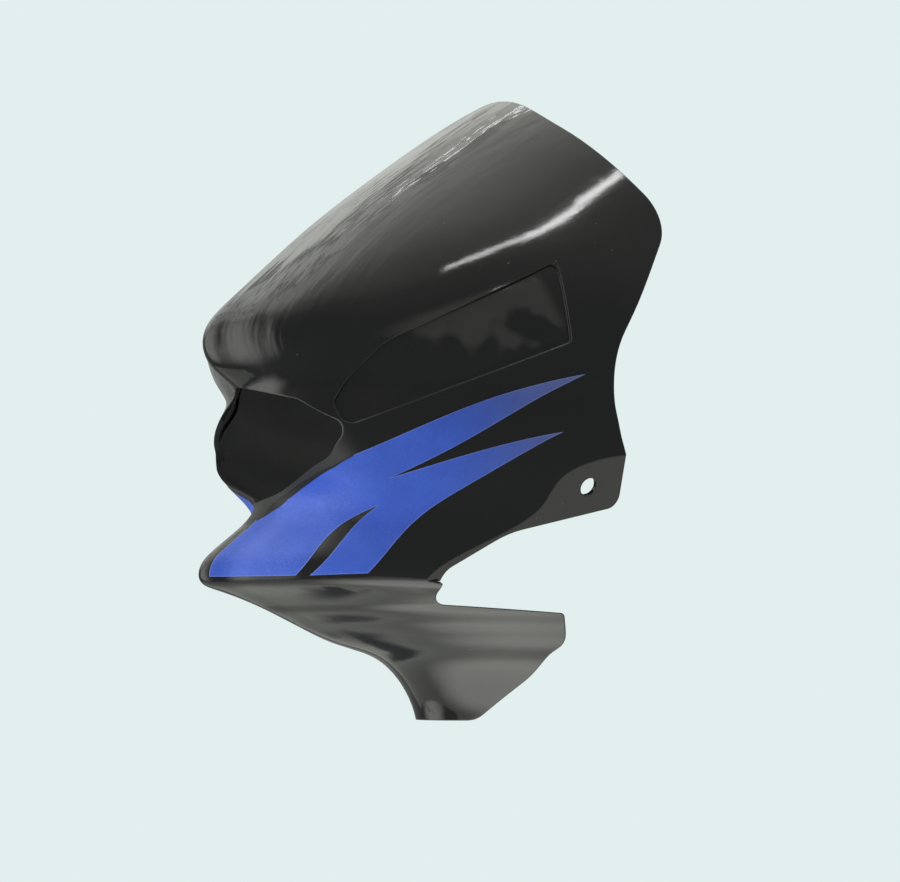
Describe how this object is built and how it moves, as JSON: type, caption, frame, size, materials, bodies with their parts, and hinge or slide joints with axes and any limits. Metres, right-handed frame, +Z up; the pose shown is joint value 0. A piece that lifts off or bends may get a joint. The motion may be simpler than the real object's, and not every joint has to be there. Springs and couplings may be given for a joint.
{
  "type": "motorbike headlight visor",
  "caption": "Moulded motorbike headlight visor: domed screen over an eye-shaped headlamp opening, beaked chin, side screw lugs, turn-signal notches and a lower tongue.",
  "frame": {"origin": "midway between the two side screw holes, on the line that joins their outer rims", "axes": "+Z up, -Y towards the front of the bike, +X towards the bike's left; the visor keeps the attitude it has on the bike"},
  "size_m": [0.2558, 0.2552, 0.403],
  "materials": {
    "gloss_black_paint": "gloss black paint under clear coat on moulded plastic",
    "blue_film": "metallic blue vinyl film"
  },
  "bodies": {
    "root": {"visor_shell": "gloss_black_paint", "left_stripe": "blue_film", "right_stripe": "blue_film"}
  },
  "joints": []
}
